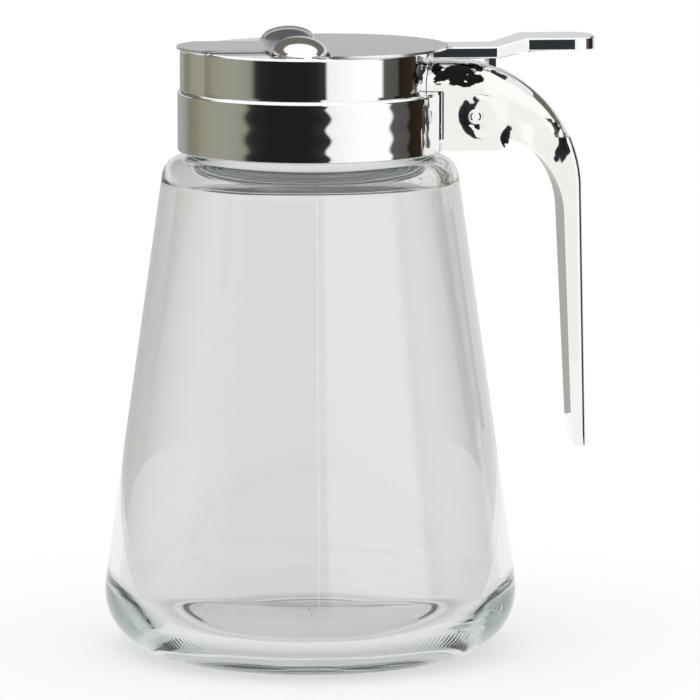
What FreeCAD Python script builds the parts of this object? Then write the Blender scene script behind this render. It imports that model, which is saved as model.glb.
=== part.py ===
"""Honey dispenser: a conical glass jar under a chrome screw cap with a sliding gate.

The cap is a two-tier shell with a pouring beak, two guide ears on its deck and a lug behind it.
A thin steel gate plate lies on the deck and closes the beak. A thumb lever behind the plate pulls
it back. The handle's hood straddles the lug and is held by one cross pin.

Frame: +Z up, origin on the jar's axis in the plane it stands on, beak towards -X, handle towards +X.
All sizes are in millimetres and all angles in degrees.
"""
import FreeCAD, Part
import math
import os

V = FreeCAD.Vector

# ---- glass jar -------------------------------------------------------------------------------
jar_radius = 45.4           # largest outer radius, just above the heel
heel_round = 13.6           # outer rounding between wall and base
wall_lean = 8.1             # how far the wall leans inwards
shoulder_z = 109.2          # top of the shoulder
shoulder_round = 4.6
neck_radius = 26.2          # outside of the plain neck inside the cap
neck_height = 13.4          # from the shoulder to the rim
glass_wall = 3.0
base_thick = 5.6            # glass between the standing plane and the inside floor
push_up = 2.0               # hollow of the base above the bearing ring
push_up_round = 1.0
bearing_width = 2.4         # flat ring that the jar stands on
bearing_round = 0.6
neck_foot_round = 1.0
neck_inner_round = 3.0
lip_round = 1.2             # jar's rim, inside and outside

# ---- cap ---------------------------------------------------------------------------------------
skirt_radius = 29.1
skirt_lift = 1.5            # skirt's lower edge above the shoulder
skirt_edge = 0.3
cap_wall = 1.4
tier_radius = 26.1          # upper tier
tier_height = 9.0           # from the ledge to the deck
beak_reach = 28.6           # axis to the beak's nose
beak_round = 13.6           # radius of the nose in plan
beak_blend = 1.6            # hollow rounding where the beak leaves the round wall
rim_round = 0.6             # soft edge round the deck
ledge_round = 0.8
pour_radius = 4.0
pour_wall = 1.9             # deck left between the pour hole and the nose

# ---- guide ears on the deck: hollow hoods that lean in over the plate -----------------------
ear_x = -3.6
ear_foot_y = 17.2           # axis to the mouth's two feet on the deck
ear_crown_y = 11.4          # axis to the mouth's crown
ear_outer_y = 24.0          # axis to the hood's outer edge on the deck
ear_half_length = 5.7       # at the mouth's feet
ear_height = 3.7
ear_wall = 0.8

# ---- gate plate -------------------------------------------------------------------------------
plate_thick = 0.5
plate_gap = 0.1             # plate above the deck
slide_gap = 0.3             # plate to the ears, lever to its seats
nose_overhang = 0.7         # plate past the beak's nose
tongue_half_width = 10.6    # plate between the beak and the wings
wing_length = 0.9           # wings in front of the ears
rear_radius = 25.6          # round rear of the plate
seat_length = 3.8           # plate on the lever, behind the deck
plate_corner = 0.8

# ---- thumb lever ------------------------------------------------------------------------------
neck_half_width = 6.0
neck_thick = 2.6
neck_step = 0.35            # neck's top above the plate's underside
neck_length = 10.3          # from the plate's seat to the rise
rise_length = 6.3
rise = 1.9
pad_length = 15.6
pad_half_width = 7.0
pad_thick = 2.9
pad_corner = 5.0
lever_edge = 0.4
bend_round = 2.5
foot_half_width = 4.2
foot_lead = 1.7             # foot's front before the lever's rise
foot_sole = 2.0             # flat of the foot, just over the hood
foot_hollow_length = 10.2   # from the sole to where the foot meets the pad
foot_curl = 2.0             # run of the steep part behind the sole
foot_curl_drop = 0.9        # where it ends below the pad
foot_hollow = 5.0
waist_round = 8.0           # sides where the neck widens to the pad

# ---- handle -----------------------------------------------------------------------------------
hood_half_width = 9.0
hood_wall = 2.0
hood_drop = 2.8             # hood's top below the deck
roof_flat = 1.7             # the roof is level up to here behind the skirt, then an arc
roof_radius = 28.2
roof_edge = 5.4             # rounding of the roof's long edges
hood_seam = 0.1             # hood to the upper tier
hood_groove = 0.6           # hood's cheeks to the skirt
cheek_recess = 0.4          # cheeks set back under the roof's lip
lip_height = 6.4            # roof's top to its lip at the front
lip_radius = 36.0
cheek_length = 13.7         # cheeks behind the skirt
cheek_corner = 2.6
hollow_reach = 3.5          # hood's hollow past that corner
ridge_height = 2.75         # grip's ridge above the cheeks' lower edge
grip_half_top = 8.3
grip_half_bottom = 5.4
grip_bottom_z = 44.8
grip_thick_top = 4.1
grip_thick_bottom = 3.1
grip_lean = 1.55            # how far the grip's back flares outwards
grip_root_slope = 20.0      # slope of the grip's underside where it leaves the cheeks
grip_back_round = 1.2
grip_foot_round = 1.5
grip_tip_bevel = 0.6        # inner side of the free end
grip_tip_height = 3.0

# ---- lug and pin ------------------------------------------------------------------------------
pin_back = 6.3              # pin behind the skirt
pin_drop = 14.55            # pin below the deck
pin_radius = 1.3
pin_fit = 0.1
pin_head_radius = 1.65
pin_head_height = 0.5
pin_head_round = 0.2
pin_ring_radius = 1.05      # ring groove in the head
pin_ring_half_width = 0.2
lug_radius = 5.2
lug_gap = 0.3               # lug to the hood's cheeks
beyond = 5.0                # how far a cutting solid reaches past what it cuts
same_place = 0.01           # lengths that differ by less are the same place

# ---- places worked out from the sizes above ------------------------------------------------
roof_flat_end = skirt_radius + roof_flat
cheek_end = skirt_radius + cheek_length
pin_x = skirt_radius + pin_back
lever_start = tier_radius + slide_gap
plate_end = lever_start + seat_length
neck_end = plate_end + neck_length
rise_end = neck_end + rise_length
pad_end = rise_end + pad_length
foot_front = neck_end - foot_lead
foot_back = foot_front + foot_sole
foot_root = foot_back + foot_hollow_length
rim_z = shoulder_z + neck_height
skirt_z = shoulder_z + skirt_lift
ledge_z = rim_z + cap_wall
deck_z = ledge_z + tier_height
plate_z = deck_z + plate_gap
plate_top = plate_z + plate_thick
beak_x = -(beak_reach - beak_round)
pour_x = -(beak_reach - pour_wall - pour_radius)
roof_z = deck_z - hood_drop
cheek_z = skirt_z + 0.2
ridge_z = cheek_z + ridge_height
pin_z = deck_z - pin_drop
neck_top = plate_z + neck_step
pad_top = neck_top + rise
roof_center_z = roof_z - roof_radius
ear_slant = (ear_foot_y - ear_crown_y) / ear_height


# ---- helpers ----------------------------------------------------------------------------------
def rounded_wire(corners, place):
    """Closed wire through corners (a, b, radius), each rounded by an arc tangent to both sides."""
    edges = []
    count = len(corners)
    starts, ends, arcs = [], [], []
    for i in range(count):
        a, b, radius = corners[i]
        here = V(a, b, 0)
        before = V(*corners[i - 1][:2], 0) - here
        after = V(*corners[(i + 1) % count][:2], 0) - here
        if radius <= 0:
            starts.append(here)
            ends.append(here)
            arcs.append(None)
            continue
        before.normalize()
        after.normalize()
        half = before.getAngle(after) / 2
        reach = radius / math.tan(half)
        bisector = before + after
        bisector.normalize()
        middle = here + bisector * (radius / math.sin(half) - radius)
        starts.append(here + before * reach)
        ends.append(here + after * reach)
        arcs.append(middle)
    for i in range(count):
        if arcs[i] is not None:
            edges.append(Part.Arc(place(starts[i]), place(arcs[i]), place(ends[i])).toShape())
        start, stop = place(ends[i]), place(starts[(i + 1) % count])
        if start.distanceToPoint(stop) > 1e-6:
            edges.append(Part.LineSegment(start, stop).toShape())
    return Part.Wire(edges)


def in_xz(p):
    return V(p.x, 0, p.y)


def in_xy(p):
    return V(p.x, p.y, 0)


def turned(corners):
    """Solid of revolution about the jar's axis from corners (radius, z, rounding)."""
    face = Part.Face(rounded_wire(corners, in_xz))
    return face.revolve(V(0, 0, 0), V(0, 0, 1), 360)


def side_slab(corners, half_width):
    """Side view (x, z, rounding) made 2 * half_width thick, about the plane y = 0."""
    return wide_slab(rounded_wire(corners, in_xz).Edges, half_width)


def plan_slab(corners, bottom, top):
    """Plan view (x, y, rounding) between two heights."""
    face = Part.Face(rounded_wire(corners, in_xy))
    face.translate(V(0, 0, bottom))
    return face.extrude(V(0, 0, top - bottom))


def post(radius, x, bottom, top):
    return Part.makeCylinder(radius, top - bottom, V(x, 0, bottom))


def cross_bar(radius, x, z, half_length):
    return Part.makeCylinder(radius, 2 * half_length, V(x, -half_length, z), V(0, 1, 0))


def polyline(points):
    return [Part.LineSegment(a, b).toShape() for a, b in zip(points, points[1:])]


def wide_slab(edges, half_width):
    """Closed side view, given as edges, made 2 * half_width thick about the plane y = 0."""
    face = Part.Face(Part.Wire(edges))
    face.translate(V(0, -half_width, 0))
    return face.extrude(V(0, 2 * half_width, 0))


def round_edges(solid, radius, wanted):
    """Fillet the edges for which wanted(edge) holds."""
    edges = [edge for edge in solid.Edges if wanted(edge)]
    return solid.makeFillet(radius, edges)


def roof_line(top, radius, front, back):
    """Level line from x = front, then an arc down to x = back; gives its edges and its last point."""
    center = V(roof_flat_end, 0, top - radius)
    turn = math.asin((back - roof_flat_end) / radius)
    start = center + V(0, 0, radius)
    middle = center + V(math.sin(turn / 2), 0, math.cos(turn / 2)) * radius
    stop = center + V(math.sin(turn), 0, math.cos(turn)) * radius
    level = Part.LineSegment(V(front, 0, top), start).toShape()
    return [level, Part.Arc(start, middle, stop).toShape()], stop


def roof_height(x):
    return roof_center_z + math.sqrt(roof_radius ** 2 - (x - roof_flat_end) ** 2)


def roof_reach(z):
    """Place x where the roof's arc comes down to height z."""
    return roof_flat_end + math.sqrt(roof_radius ** 2 - (z - roof_center_z) ** 2)


def one_solid(shape):
    shape = shape.removeSplitter()
    solids = shape.Solids
    if len(solids) != 1:
        raise ValueError("expected one solid, found %d" % len(solids))
    return solids[0]


# ---- pieces -----------------------------------------------------------------------------------
def make_jar():
    """Pressed-and-blown jar: leaning wall, round heel, bearing ring, hollow base, plain neck."""
    lean = math.tan(math.radians(wall_lean))
    bearing = jar_radius - heel_round
    foot = bearing + heel_round / math.tan(math.radians((90 - wall_lean) / 2))
    inner_foot = foot - glass_wall / math.cos(math.radians(wall_lean))
    inner_shoulder = shoulder_z - glass_wall
    neck_inner = neck_radius - glass_wall
    inner_edge = bearing - bearing_width
    return turned([
        (0, push_up, 0),
        (inner_edge - push_up, push_up, push_up_round),
        (inner_edge, 0, bearing_round),
        (foot, 0, heel_round),
        (foot - shoulder_z * lean, shoulder_z, shoulder_round),
        (neck_radius, shoulder_z, neck_foot_round),
        (neck_radius, rim_z, lip_round),
        (neck_inner, rim_z, lip_round),
        (neck_inner, inner_shoulder, neck_inner_round),
        (inner_foot - inner_shoulder * lean, inner_shoulder, shoulder_round),
        (inner_foot - base_thick * lean, base_thick, heel_round - glass_wall),
        (0, base_thick, 0),
    ])


def tier_slab(inset, bottom, top):
    """Round tier and beak in plan, moved inwards by inset, between two heights."""
    round_r = tier_radius - inset
    nose_r = beak_round - inset
    blend_r = beak_blend + inset
    # The hollow rounding touches both circles from outside.
    far, near = round_r + blend_r, nose_r + blend_r
    bx = (far ** 2 - near ** 2 + beak_x ** 2) / (2 * beak_x)
    by = math.sqrt(far ** 2 - bx ** 2)
    blend = V(bx, by, 0)
    on_round = blend * (round_r / far)
    nose = V(beak_x, 0, 0)
    on_nose = nose + (blend - nose) * (nose_r / near)
    toward = (on_round + on_nose) * 0.5 - blend
    toward.normalize()
    middle = blend + toward * blend_r

    def flip(p):
        return V(p.x, -p.y, 0)

    edges = [
        Part.Arc(on_round, V(round_r, 0, 0), flip(on_round)).toShape(),
        Part.Arc(flip(on_round), flip(middle), flip(on_nose)).toShape(),
        Part.Arc(flip(on_nose), V(beak_x - nose_r, 0, 0), on_nose).toShape(),
        Part.Arc(on_nose, middle, on_round).toShape(),
    ]
    face = Part.Face(Part.Wire(edges))
    face.translate(V(0, 0, bottom))
    return face.extrude(V(0, 0, top - bottom))


def hood_ball(side, inset):
    """Ellipsoid of an ear's skin, moved inwards by inset, centred under the mouth's crown."""
    depth = ear_outer_y - ear_crown_y
    share = (ear_foot_y - ear_crown_y) / depth
    half_length = ear_half_length / math.sqrt(1 - share ** 2)
    matrix = FreeCAD.Matrix()
    matrix.scale(half_length - inset, depth - inset, ear_height - inset)
    matrix.move(V(ear_x, side * ear_crown_y, deck_z))
    return Part.makeSphere(1.0, V(0, 0, 0), V(1, 0, 0)).transformGeometry(matrix)


def make_ear(side):
    """Guide ear: a hollow hood with a slanting mouth, its crown leaning in over the plate."""
    sunk = cap_wall / 2
    far = 2 * ear_outer_y
    behind_mouth = Part.Face(Part.makePolygon([V(0, side * y, deck_z + z) for y, z in (
        (ear_foot_y + ear_slant * sunk, -sunk),
        (ear_crown_y - ear_slant * sunk, ear_height + sunk),
        (far, ear_height + sunk),
        (far, -sunk),
        (ear_foot_y + ear_slant * sunk, -sunk),
    )]))
    behind_mouth.translate(V(ear_x - far, 0, 0))
    skin = hood_ball(side, 0).common(behind_mouth.extrude(V(2 * far, 0, 0)))
    above_deck = Part.makeBox(2 * far, 2 * far, far, V(ear_x - far, -far, deck_z))
    return skin.cut(hood_ball(side, ear_wall).common(above_deck))


def make_lug():
    """Rear lug with a round end that carries the handle's pin."""
    root = tier_radius - 2 * cap_wall
    tip = pin_x + lug_radius
    lug = side_slab([
        (root, pin_z + lug_radius, 0),
        (root, pin_z - lug_radius, 0),
        (tip, pin_z - lug_radius, lug_radius),
        (tip, pin_z + lug_radius, lug_radius),
    ], hood_half_width - hood_wall - lug_gap)
    lug = lug.cut(post(skirt_radius - cap_wall / 2, 0, 0, rim_z))
    return lug.cut(post(tier_radius - cap_wall / 2, 0, 0, deck_z))


def make_cap():
    """Screw cap: skirt and upper tier as one shell, with beak, pour hole, ears and rear lug."""
    skirt = turned([
        (0, rim_z, 0),
        (skirt_radius - cap_wall, rim_z, 0),
        (skirt_radius - cap_wall, skirt_z, 0),
        (skirt_radius, skirt_z, skirt_edge),
        (skirt_radius, ledge_z, ledge_round),
        (0, ledge_z, 0),
    ])
    tier = tier_slab(0, rim_z + cap_wall / 2, deck_z)
    tier = round_edges(tier, rim_round, lambda edge: edge.BoundBox.ZMin > deck_z - same_place)
    shell = skirt.fuse([tier, make_lug()])
    shell = shell.fuse([make_ear(1), make_ear(-1)])
    shell = shell.cut(tier_slab(cap_wall, ledge_z, deck_z - cap_wall))
    shell = shell.cut(post(tier_radius - cap_wall, 0, skirt_z, deck_z - cap_wall))
    shell = shell.cut(post(pour_radius, pour_x, ledge_z + cap_wall, deck_z + beyond))
    return one_solid(shell.cut(cross_bar(pin_radius + pin_fit, pin_x, pin_z, skirt_radius)))


def make_plate():
    """Gate plate: nose over the beak, tongue, wings between the ears, round rear."""
    nose_radius = beak_round + nose_overhang
    wing_x = ear_x - ear_half_length - wing_length
    step_x = ear_x + ear_half_length + slide_gap
    wing_y = ear_foot_y - ear_slant * (plate_top - deck_z) - slide_gap
    tongue = Part.makeBox(step_x - beak_x + nose_radius, 2 * tongue_half_width, plate_thick,
                          V(beak_x - nose_radius, -tongue_half_width, plate_z))
    ahead_of_beak = Part.makeBox(nose_radius, 2 * nose_radius, plate_thick,
                                 V(beak_x - nose_radius, -nose_radius, plate_z))
    nose = post(nose_radius, beak_x, plate_z, plate_top)
    tongue = tongue.cut(ahead_of_beak).fuse(nose.common(tongue))
    wings = plan_slab([
        (wing_x, -wing_y, plate_corner),
        (step_x + plate_corner, -wing_y, 0),
        (step_x + plate_corner, wing_y, 0),
        (wing_x, wing_y, plate_corner),
    ], plate_z, plate_top)
    rear = post(rear_radius, plate_end - rear_radius, plate_z, plate_top)
    ahead_of_step = Part.makeBox(2 * rear_radius, 2 * rear_radius, plate_thick,
                                 V(step_x - 2 * rear_radius, -rear_radius, plate_z))
    return one_solid(tongue.fuse([wings, rear.cut(ahead_of_step)]))


def make_lever():
    """Thumb lever: flat neck under and behind the plate, slanted rise, pad and a foot on the hood."""
    seat_end = plate_end + slide_gap
    neck_bottom = neck_top - neck_thick
    pad_bottom = pad_top - pad_thick
    body = side_slab([
        (lever_start, plate_z, 0),
        (seat_end, plate_z, 0),
        (seat_end, neck_top, 0),
        (neck_end, neck_top, bend_round),
        (rise_end, pad_top, bend_round),
        (pad_end, pad_top, 0),
        (pad_end, pad_bottom, 0),
        (rise_end + lever_edge, pad_bottom, bend_round),
        (neck_end + lever_edge, neck_bottom, bend_round),
        (lever_start, neck_bottom, 0),
    ], pad_half_width)
    plan = plan_slab([
        (lever_start, -neck_half_width, 0),
        (neck_end, -neck_half_width, waist_round),
        (rise_end, -pad_half_width, waist_round),
        (pad_end, -pad_half_width, pad_corner),
        (pad_end, pad_half_width, pad_corner),
        (rise_end, pad_half_width, waist_round),
        (neck_end, neck_half_width, waist_round),
        (lever_start, neck_half_width, 0),
    ], neck_bottom - beyond, pad_top + beyond)

    def outline_edge(edge):
        """Edges round the lever's top and bottom, but no upright ones and no bend lines."""
        box = edge.BoundBox
        upright = box.XLength < same_place and box.YLength < same_place
        across = box.YLength > 2 * neck_half_width - same_place
        spans_seat_end = box.XMin > seat_end - same_place and box.XMax > seat_end + same_place
        return spans_seat_end and not upright and not across

    body = round_edges(body.common(plan), lever_edge, outline_edge)
    root_top = pad_bottom + pad_thick / 4
    foot = side_slab([
        (foot_front, neck_bottom + neck_thick / 2, 0),
        (foot_front, roof_height(foot_front) + slide_gap, 0),
        (foot_back, roof_height(foot_back) + slide_gap, 0),
        (foot_back + foot_curl, pad_bottom - foot_curl_drop, foot_hollow),
        (foot_root, pad_bottom, 0),
        (foot_root, root_top, 0),
        (rise_end, root_top, 0),
    ], foot_half_width)
    return one_solid(body.fuse(foot))


def make_hood():
    """Roof and cheeks, solid: rounded long edges, cheeks set back under the roof's lip."""
    inside = tier_radius / 2
    roof, tail = roof_line(roof_z, roof_radius, inside, roof_reach(ridge_z))
    under = polyline([
        tail,
        V(cheek_end, 0, ridge_z),
        V(cheek_end, 0, cheek_z),
        V(inside, 0, cheek_z),
        V(inside, 0, roof_z),
    ])
    hood = wide_slab(roof + under, hood_half_width)

    def long_roof_edge(edge):
        box = edge.BoundBox
        return box.YLength < same_place and box.ZMax > roof_z - same_place and box.XLength > 1

    def low_corner(edge):
        box = edge.BoundBox
        return box.XLength < same_place and box.ZLength < same_place and (
            abs(box.XMin - cheek_end) < same_place and abs(box.ZMin - cheek_z) < same_place)

    hood = round_edges(hood, roof_edge, long_roof_edge)
    hood = round_edges(hood, cheek_corner, low_corner)
    return hood.cut(cheek_recesses())


def cheek_recesses():
    """Shallow cuts below the lip line, one on each cheek."""
    inside = tier_radius / 2
    past_tail = roof_flat_end + roof_radius
    lip_z = roof_z - lip_height
    lip, stop = roof_line(lip_z, lip_radius, inside, past_tail)
    under = polyline([stop, V(past_tail, 0, 0), V(inside, 0, 0), V(inside, 0, lip_z)])
    block = wide_slab(lip + under, hood_half_width)
    cheeks = Part.makeBox(past_tail, 2 * (hood_half_width - cheek_recess), roof_z,
                          V(0, cheek_recess - hood_half_width, 0))
    return block.cut(cheeks)


def make_hollow():
    """Inside of the hood: open below and towards the cap, with rounded upper corners."""
    inside = tier_radius / 4
    top = roof_z - hood_wall
    roof, stop = roof_line(top, roof_radius - hood_wall, inside, cheek_end + hollow_reach)
    low = cheek_z - beyond
    rear = cheek_end - hood_wall
    under = polyline([
        stop,
        V(rear, 0, ridge_z),
        V(rear, 0, low),
        V(inside, 0, low),
        V(inside, 0, top),
    ])
    hollow = wide_slab(roof + under, hood_half_width - hood_wall)

    def long_top_edge(edge):
        box = edge.BoundBox
        return box.YLength < same_place and box.ZMax > top - same_place and box.XLength > 1

    return round_edges(hollow, roof_edge - hood_wall, long_top_edge)


def make_grip():
    """Long grip: a curved root under the hood, then a bar that narrows towards its free end."""
    back_x = roof_flat_end + roof_radius
    bend_z = roof_center_z
    flare = math.tan(math.radians(grip_lean))
    back_low = back_x + (bend_z - grip_bottom_z) * flare
    inner_top = V(back_x - grip_thick_top, 0, bend_z)
    inner_low = V(back_low - grip_thick_bottom, 0, grip_bottom_z)

    # The back carries on the roof's arc down to the level of its centre.
    tail = V(roof_reach(ridge_z), 0, ridge_z)
    half = math.asin((ridge_z - bend_z) / roof_radius) / 2
    middle = V(roof_flat_end, 0, bend_z) + V(math.cos(half), 0, math.sin(half)) * roof_radius
    shoulder = V(back_x, 0, bend_z)

    # On the hollow side one arc turns from the cheeks' back corner into the leaning inner face.
    root = V(cheek_end, 0, ridge_z)
    down = (inner_low - inner_top).normalize()
    slope = math.radians(grip_root_slope)
    along = V(math.cos(slope), 0, -math.sin(slope))
    gap = inner_top - root
    reach = (gap.x * down.z - gap.z * down.x) / (along.x * down.z - along.z * down.x)
    corner = root + along * reach
    half_turn = (-along).getAngle(down) / 2
    inner_round = reach * math.tan(half_turn)
    bisector = (down - along).normalize()
    bend_low = corner + down * reach
    bend_middle = corner + bisector * (inner_round / math.sin(half_turn) - inner_round)

    # The bar is made too long and rounded along its edges before its free end is cut to shape.
    back_end = V(back_low + beyond * flare, 0, grip_bottom_z - beyond)
    inner_end = inner_low - down * (beyond / down.z)
    edges = polyline([root, tail])
    edges.append(Part.Arc(tail, middle, shoulder).toShape())
    edges += polyline([shoulder, back_end, inner_end, bend_low])
    edges.append(Part.Arc(bend_low, bend_middle, root).toShape())
    bar = wide_slab(edges, hood_half_width)
    narrowing = (grip_half_top - grip_half_bottom) / (ridge_z - grip_bottom_z)
    end_half = grip_half_bottom - beyond * narrowing
    taper = Part.Face(Part.makePolygon([
        V(0, -grip_half_top, ridge_z),
        V(0, grip_half_top, ridge_z),
        V(0, end_half, back_end.z),
        V(0, -end_half, back_end.z),
        V(0, -grip_half_top, ridge_z),
    ]))
    bar = bar.common(taper.extrude(V(2 * back_low, 0, 0)))

    def long_back_edge(edge):
        box = edge.BoundBox
        return box.YLength < box.ZLength and edge.CenterOfMass.x > back_x - grip_thick_bottom / 2

    bar = round_edges(bar, grip_back_round, long_back_edge)
    free_end = side_slab([
        (back_low, grip_bottom_z, grip_foot_round),
        (back_low + beyond, grip_bottom_z + 2 * beyond, 0),
        (back_low + beyond, ridge_z, 0),
        (cheek_end, ridge_z, 0),
        (cheek_end, inner_top.z, 0),
        (inner_low.x - beyond * grip_tip_bevel / grip_tip_height,
         grip_bottom_z + grip_tip_height + beyond, 0),
        (inner_low.x + grip_tip_bevel, grip_bottom_z, 0),
    ], hood_half_width)
    return bar.common(free_end)


def make_handle():
    """Hood and grip as one casting, bored for the pin and fitted round the cap."""
    handle = make_hood().fuse(make_grip())
    handle = handle.cut(make_hollow())
    handle = handle.cut(post(tier_radius + hood_seam, 0, 0, deck_z))
    handle = handle.cut(post(skirt_radius + hood_groove, 0, 0, ledge_z + hood_seam))
    return one_solid(handle.cut(cross_bar(pin_radius, pin_x, pin_z, skirt_radius)))


def make_pin():
    """Cross pin with a flat head on each cheek, a ring groove in each head."""
    cheek = hood_half_width - cheek_recess
    face = cheek + pin_head_height
    half = turned([
        (0, 0, 0),
        (pin_radius, 0, 0),
        (pin_radius, cheek, 0),
        (pin_head_radius, cheek, 0),
        (pin_head_radius, face, pin_head_round),
        (pin_ring_radius + pin_ring_half_width, face, 0),
        (pin_ring_radius, face - pin_ring_half_width, 0),
        (pin_ring_radius - pin_ring_half_width, face, 0),
        (0, face, 0),
    ])
    pin = one_solid(half.fuse(half.mirror(V(0, 0, 0), V(0, 0, 1))))
    pin.rotate(V(0, 0, 0), V(1, 0, 0), 90)
    pin.translate(V(pin_x, 0, pin_z))
    return pin


def main():
    os.makedirs("parts", exist_ok=True)
    pieces = {
        "glass_jar": make_jar(),
        "screw_cap": make_cap(),
        "gate_plate": make_plate(),
        "thumb_lever": make_lever(),
        "handle": make_handle(),
        "handle_pin": make_pin(),
    }
    for name, shape in pieces.items():
        shape.exportStep("parts/%s.step" % name)
        box = shape.BoundBox
        print("%-12s %-6s solids %d volume %.0f  x %.2f..%.2f y %.2f..%.2f z %.2f..%.2f" % (
            name, "valid" if shape.isValid() else "BAD", len(shape.Solids), shape.Volume,
            box.XMin, box.XMax, box.YMin, box.YMax, box.ZMin, box.ZMax))


main()
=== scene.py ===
# %% [markdown]
# # A honey dispenser in chrome and glass
#
# A conical glass jar stands under a chrome screw cap. A thin steel gate lies on the cap's deck and
# closes the pouring beak, a thumb lever pulls it back, and a long cast grip hangs behind.
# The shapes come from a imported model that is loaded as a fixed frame. What this lesson adds is the
# finish of every surface, a glass jar with the small unevenness of real glass, and a studio whose
# white and dark cards give the chrome something to mirror.

import math

import bmesh
import bpy
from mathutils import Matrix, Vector, noise


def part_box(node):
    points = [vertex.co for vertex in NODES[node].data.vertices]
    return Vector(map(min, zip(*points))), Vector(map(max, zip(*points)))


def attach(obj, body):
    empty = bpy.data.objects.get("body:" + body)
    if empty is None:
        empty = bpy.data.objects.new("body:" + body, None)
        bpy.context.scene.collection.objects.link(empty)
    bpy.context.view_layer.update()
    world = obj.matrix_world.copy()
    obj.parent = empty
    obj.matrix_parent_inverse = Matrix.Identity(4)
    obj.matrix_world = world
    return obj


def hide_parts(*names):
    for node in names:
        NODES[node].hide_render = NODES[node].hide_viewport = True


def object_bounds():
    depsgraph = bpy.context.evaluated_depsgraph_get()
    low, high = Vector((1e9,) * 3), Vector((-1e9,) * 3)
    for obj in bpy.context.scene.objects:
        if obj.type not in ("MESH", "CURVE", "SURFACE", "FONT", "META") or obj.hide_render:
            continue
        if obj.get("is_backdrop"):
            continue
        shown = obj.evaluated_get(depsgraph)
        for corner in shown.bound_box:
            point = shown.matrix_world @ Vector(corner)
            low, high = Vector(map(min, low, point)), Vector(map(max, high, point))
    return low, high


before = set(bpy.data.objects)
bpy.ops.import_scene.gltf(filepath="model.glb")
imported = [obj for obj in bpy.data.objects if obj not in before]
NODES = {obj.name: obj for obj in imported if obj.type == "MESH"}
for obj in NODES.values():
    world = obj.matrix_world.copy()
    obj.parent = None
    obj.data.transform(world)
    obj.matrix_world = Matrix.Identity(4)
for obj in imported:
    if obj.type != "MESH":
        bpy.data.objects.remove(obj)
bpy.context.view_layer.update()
MM = 0.001

print("pieces in the frame:", ", ".join(sorted(NODES)))

# %% [markdown]
# ## Two small tools
#
# Colours are written as the hex values a painter would pick on a screen. Blender's shaders work in
# linear light, so one function turns the one into the other. The other tool adds a shader node,
# sets its values and joins its inputs in one call, which keeps each material short enough to read.

# %% Colour and node helpers
def linear(hex_colour):
    """An sRGB hex colour as linear red, green, blue and alpha."""
    channels = [int(hex_colour[i:i + 2], 16) / 255 for i in (1, 3, 5)]
    return [c / 12.92 if c <= 0.04045 else ((c + 0.055) / 1.055) ** 2.4 for c in channels] + [1.0]


def add(tree, kind, settings=None, **inputs):
    """Adds a node. settings are its properties, inputs its sockets by name or number.

    An input is a value or another node's output. in0 is the first socket, in1 the second.
    """
    node = tree.nodes.new(kind)
    for name, value in (settings or {}).items():
        setattr(node, name, value)
    for name, value in inputs.items():
        numbered = name.startswith("in") and name[2:].isdigit()
        socket = node.inputs[int(name[2:]) if numbered else name.replace("_", " ")]
        if isinstance(value, bpy.types.NodeSocket):
            tree.links.new(value, socket)
        else:
            socket.default_value = value
    return node


SMOOTH = {"interpolation_type": "SMOOTHSTEP"}     # lets a Map Range ease in and out

print("mid grey #808080 in linear light:", round(linear("#808080")[0], 3))


# %% [markdown]
# ## Starting a material
#
# Every finish here is one Principled shader. A value that is the same all over sits on the
# shader's own socket, where an export to other programs finds it. What varies over a surface, such
# as a ripple or a rolling line, is worked out from Object coordinates and reaches the shader by a
# link to its normal, roughness, metallic or colour.

# %% A plain start for a material
def start_material(name, **constants):
    """A material with one Principled shader. constants are its socket names and values."""
    material = bpy.data.materials.new(name)
    material.use_nodes = True
    tree = material.node_tree
    tree.nodes.clear()
    shader = add(tree, "ShaderNodeBsdfPrincipled")
    for socket, value in constants.items():
        shader.inputs[socket.replace("_", " ")].default_value = value
    add(tree, "ShaderNodeOutputMaterial", Surface=shader.outputs[0])
    return material, tree, shader


print("materials before the first finish:", len(bpy.data.materials))


# %% [markdown]
# ## Bright chrome on a zinc casting
#
# The cap and the handle are zinc die castings, polished and plated with nickel and chrome. Chrome
# mirrors almost everything with a slightly blue-grey cast, and the polishing leaves the surface
# gently uneven, so straight reflections waver. Modelling that unevenness would take a dense mesh,
# while a faint bump of about a hundredth of a millimetre does the same to the mirror image.

# %% Chrome for the castings
POLISH_WAVE = 6.0 * MM        # spacing of the slow waves that polishing leaves
POLISHED = 0.03               # roughness that the polishing wheel leaves
CHROME = "#f5f6f7"


def polished_chrome(name, roughness, wave_height, detail=1.0):
    """Chrome that wavers a little. Its last two values let a finish add relief of its own."""
    material, tree, shader = start_material(
        name, Base_Color=linear(CHROME), Metallic=1.0, Roughness=roughness)
    place = add(tree, "ShaderNodeTexCoord").outputs["Object"]
    waves = add(tree, "ShaderNodeTexNoise", Vector=place, Scale=1 / POLISH_WAVE, Detail=detail)
    bump = add(tree, "ShaderNodeBump", Height=waves.outputs["Fac"], Strength=1.0,
               Distance=wave_height)
    tree.links.new(bump.outputs[0], shader.inputs["Normal"])
    return material, tree, shader, place, bump


print("chrome is", CHROME)


# %% [markdown]
# ## Chrome for the cap, with soft ripples
#
# The lower skirt of the cap is gripped to unscrew it, and its wall swells in shallow ripples.
# They are far too low to see as shape, but a mirror shows them at once: the edges of every
# reflection bulge and pinch. A sine wave along the height, limited to the skirt by a soft window,
# gives the bump its height.

# %% Chrome for the cap
RIPPLE_PITCH = 4.75 * MM
RIPPLE_HEIGHT = 0.036 * MM
RIPPLE_CREST = 121.6 * MM     # height of one crest
SKIRT_TALL = 13.3 * MM
SKIRT_FADE = 2 * MM           # the ripples die out over this height at both ends
SKIRT_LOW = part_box("screw_cap")[0].z
SKIRT_HIGH = SKIRT_LOW + SKIRT_TALL
TURNS = 2 * math.pi / RIPPLE_PITCH      # radians of wave for each metre of height

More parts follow.
